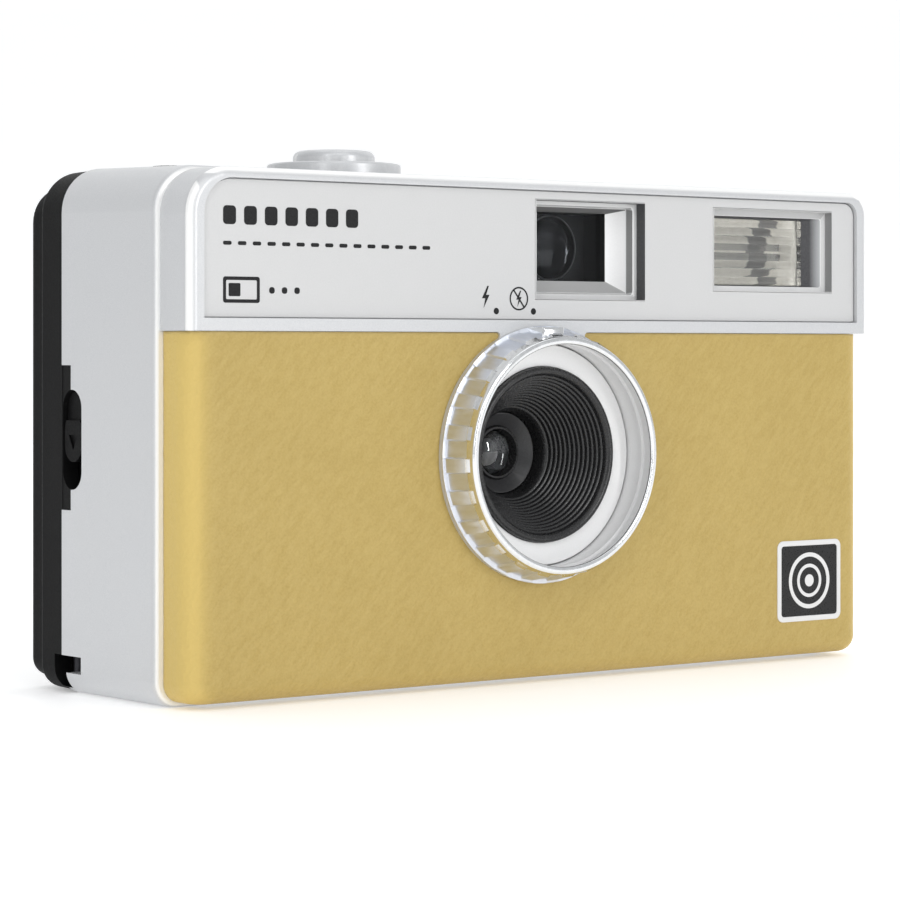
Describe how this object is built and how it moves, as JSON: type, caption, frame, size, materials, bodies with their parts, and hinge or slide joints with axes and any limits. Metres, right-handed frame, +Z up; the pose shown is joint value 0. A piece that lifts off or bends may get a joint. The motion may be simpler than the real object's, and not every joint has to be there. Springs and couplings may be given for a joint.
{
  "type": "half frame film camera",
  "caption": "Compact half frame film camera: silver shell, sand leatherette front, ribbed selector ring round a stepped lens cone, finder and flash windows, hinged black back and folding crank.",
  "frame": {"origin": "middle of the flat bottom, at the centre of the outside box", "axes": "+X to the right as seen from the front, +Y to the back, +Z up"},
  "size_m": [0.11, 0.0404, 0.0652],
  "materials": {
    "silver_shell": "fine satin silver paint on moulded plastic, light specks, slightly worn along edges",
    "leatherette": "mustard-sand embossed leatherette with fine grain and faint creases",
    "face_plate": "pale grey satin plate with a smooth fine texture",
    "badge": "black inlay with a white rim",
    "grey_frame": "silver-grey moulded frame, slightly glossy",
    "clear_plastic": "clear moulded acrylic",
    "lens_glass": "coated optical glass",
    "bright_metal": "bright anodised reflector sheet",
    "chromed_ring": "satin chrome plating, bright on the lips",
    "steel": "bare spring and sheet steel",
    "blackened_steel": "blackened thin steel",
    "black_plastic": "fine spark-eroded black plastic",
    "counter_dial": "white dial with printed plain numbers",
    "foam": "black light-seal foam",
    "capacitor_sleeve": "dark shrink sleeve",
    "circuit_board": "green solder resist"
  },
  "bodies": {
    "camera_body": {"body_shell": "silver_shell", "front_cover": "silver_shell", "shutter_collar": "silver_shell", "lens_bezel": "silver_shell", "leatherette": "leatherette", "face_plate": "face_plate", "badge": "badge", "finder_bezel": "grey_frame", "flash_bezel": "grey_frame", "finder_front_lens": "clear_plastic", "finder_eye_lens": "clear_plastic", "flash_lens": "clear_plastic", "counter_window": "clear_plastic", "front_element": "lens_glass", "rear_element": "lens_glass", "xenon_tube": "lens_glass", "flash_reflector": "bright_metal", "finder_tube": "black_plastic", "eyepiece_frame": "black_plastic", "lens_cone": "black_plastic", "lens_barrel": "black_plastic", "shutter_plate": "blackened_steel", "shutter_spring": "steel", "button_spring": "steel", "cassette_chamber": "black_plastic", "gate_section": "black_plastic", "takeup_chamber": "black_plastic", "rear_frame": "black_plastic", "strap_bar": "blackened_steel", "hinge_pin": "steel", "latch_spring": "steel", "release_spring": "steel", "battery_holder": "black_plastic", "battery_contacts": "steel", "case_screws": "steel", "flash_capacitor": "capacitor_sleeve", "flash_board": "circuit_board", "trigger_transformer": "circuit_board"},
    "selector": {"selector_ring": "chromed_ring", "ring_retainer": "steel"},
    "release": {"shutter_button": "silver_shell"},
    "blade": {"shutter_blade": "blackened_steel"},
    "door": {"back_door": "black_plastic", "door_seals": "foam", "pressure_plate": "steel", "pressure_spring": "steel"},
    "latch": {"latch_slide": "black_plastic"},
    "wheel": {"advance_wheel": "black_plastic", "takeup_spool": "black_plastic"},
    "sprocket": {"sprocket_shaft": "black_plastic"},
    "counter": {"counter_dial": "counter_dial"},
    "winder": {"rewind_disc": "black_plastic"},
    "crank": {"rewind_crank": "steel"},
    "rewind_release": {"release_button": "black_plastic"},
    "battery_lid": {"battery_door": "silver_shell"}
  },
  "joints": [
    {"name": "selector_turn", "type": "hinge", "parent": "camera_body", "child": "selector", "pos_m": [-0.00244, -0.0154, 0.02817], "axis": [0, -1, 0], "range_deg": [0, 19.3]},
    {"name": "release_press", "type": "slide", "parent": "camera_body", "child": "release", "axis": [0, 0, -1], "range_m": [0, 0.0014], "stiffness_N_per_m": 400, "deforming": ["button_spring"]},
    {"name": "blade_swing", "type": "hinge", "parent": "camera_body", "child": "blade", "pos_m": [-0.00244, -0.0024, 0.03667], "axis": [0, -1, 0], "range_deg": [0, 35], "stiffness_Nm_per_rad": 0.0002},
    {"name": "door_open", "type": "hinge", "parent": "camera_body", "child": "door", "pos_m": [0.0522, 0.0184, 0.03], "axis": [0, 0, -1], "range_deg": [0, 100]},
    {"name": "latch_slide_down", "type": "slide", "parent": "camera_body", "child": "latch", "axis": [0, 0, -1], "range_m": [0, 0.0032], "stiffness_N_per_m": 200, "deforming": ["latch_spring"]},
    {"name": "advance_turn", "type": "hinge", "parent": "camera_body", "child": "wheel", "pos_m": [-0.036, 0.0076, 0.05], "axis": [0, 0, 1], "continuous": true},
    {"name": "sprocket_turn", "type": "hinge", "parent": "camera_body", "child": "sprocket", "pos_m": [-0.019, 0.00955, 0.03], "axis": [0, 0, 1], "continuous": true},
    {"name": "counter_turn", "type": "hinge", "parent": "camera_body", "child": "counter", "pos_m": [-0.0415, 0.0006, 0.0587], "axis": [0, 0, 1], "continuous": true},
    {"name": "rewind_turn", "type": "hinge", "parent": "camera_body", "child": "winder", "pos_m": [0.038, 0.0058, 0.001], "axis": [0, 0, -1], "continuous": true},
    {"name": "crank_unfold", "type": "hinge", "parent": "winder", "child": "crank", "pos_m": [0.0347, 0.0058, 0.00085], "axis": [0, 1, 0], "range_deg": [0, 150]},
    {"name": "rewind_release_press", "type": "slide", "parent": "camera_body", "child": "rewind_release", "axis": [0, 0, 1], "range_m": [0, 0.0015], "stiffness_N_per_m": 200, "deforming": ["release_spring"]},
    {"name": "battery_lid_open", "type": "hinge", "parent": "camera_body", "child": "battery_lid", "pos_m": [0.0197, -0.003, 0.0009], "axis": [0, -1, 0], "range_deg": [0, 90]}
  ],
  "couplings": [
    {"joint": "sprocket_turn", "follows": "advance_turn", "ratio": 1.1},
    {"joint": "counter_turn", "follows": "advance_turn", "ratio": -0.025}
  ]
}
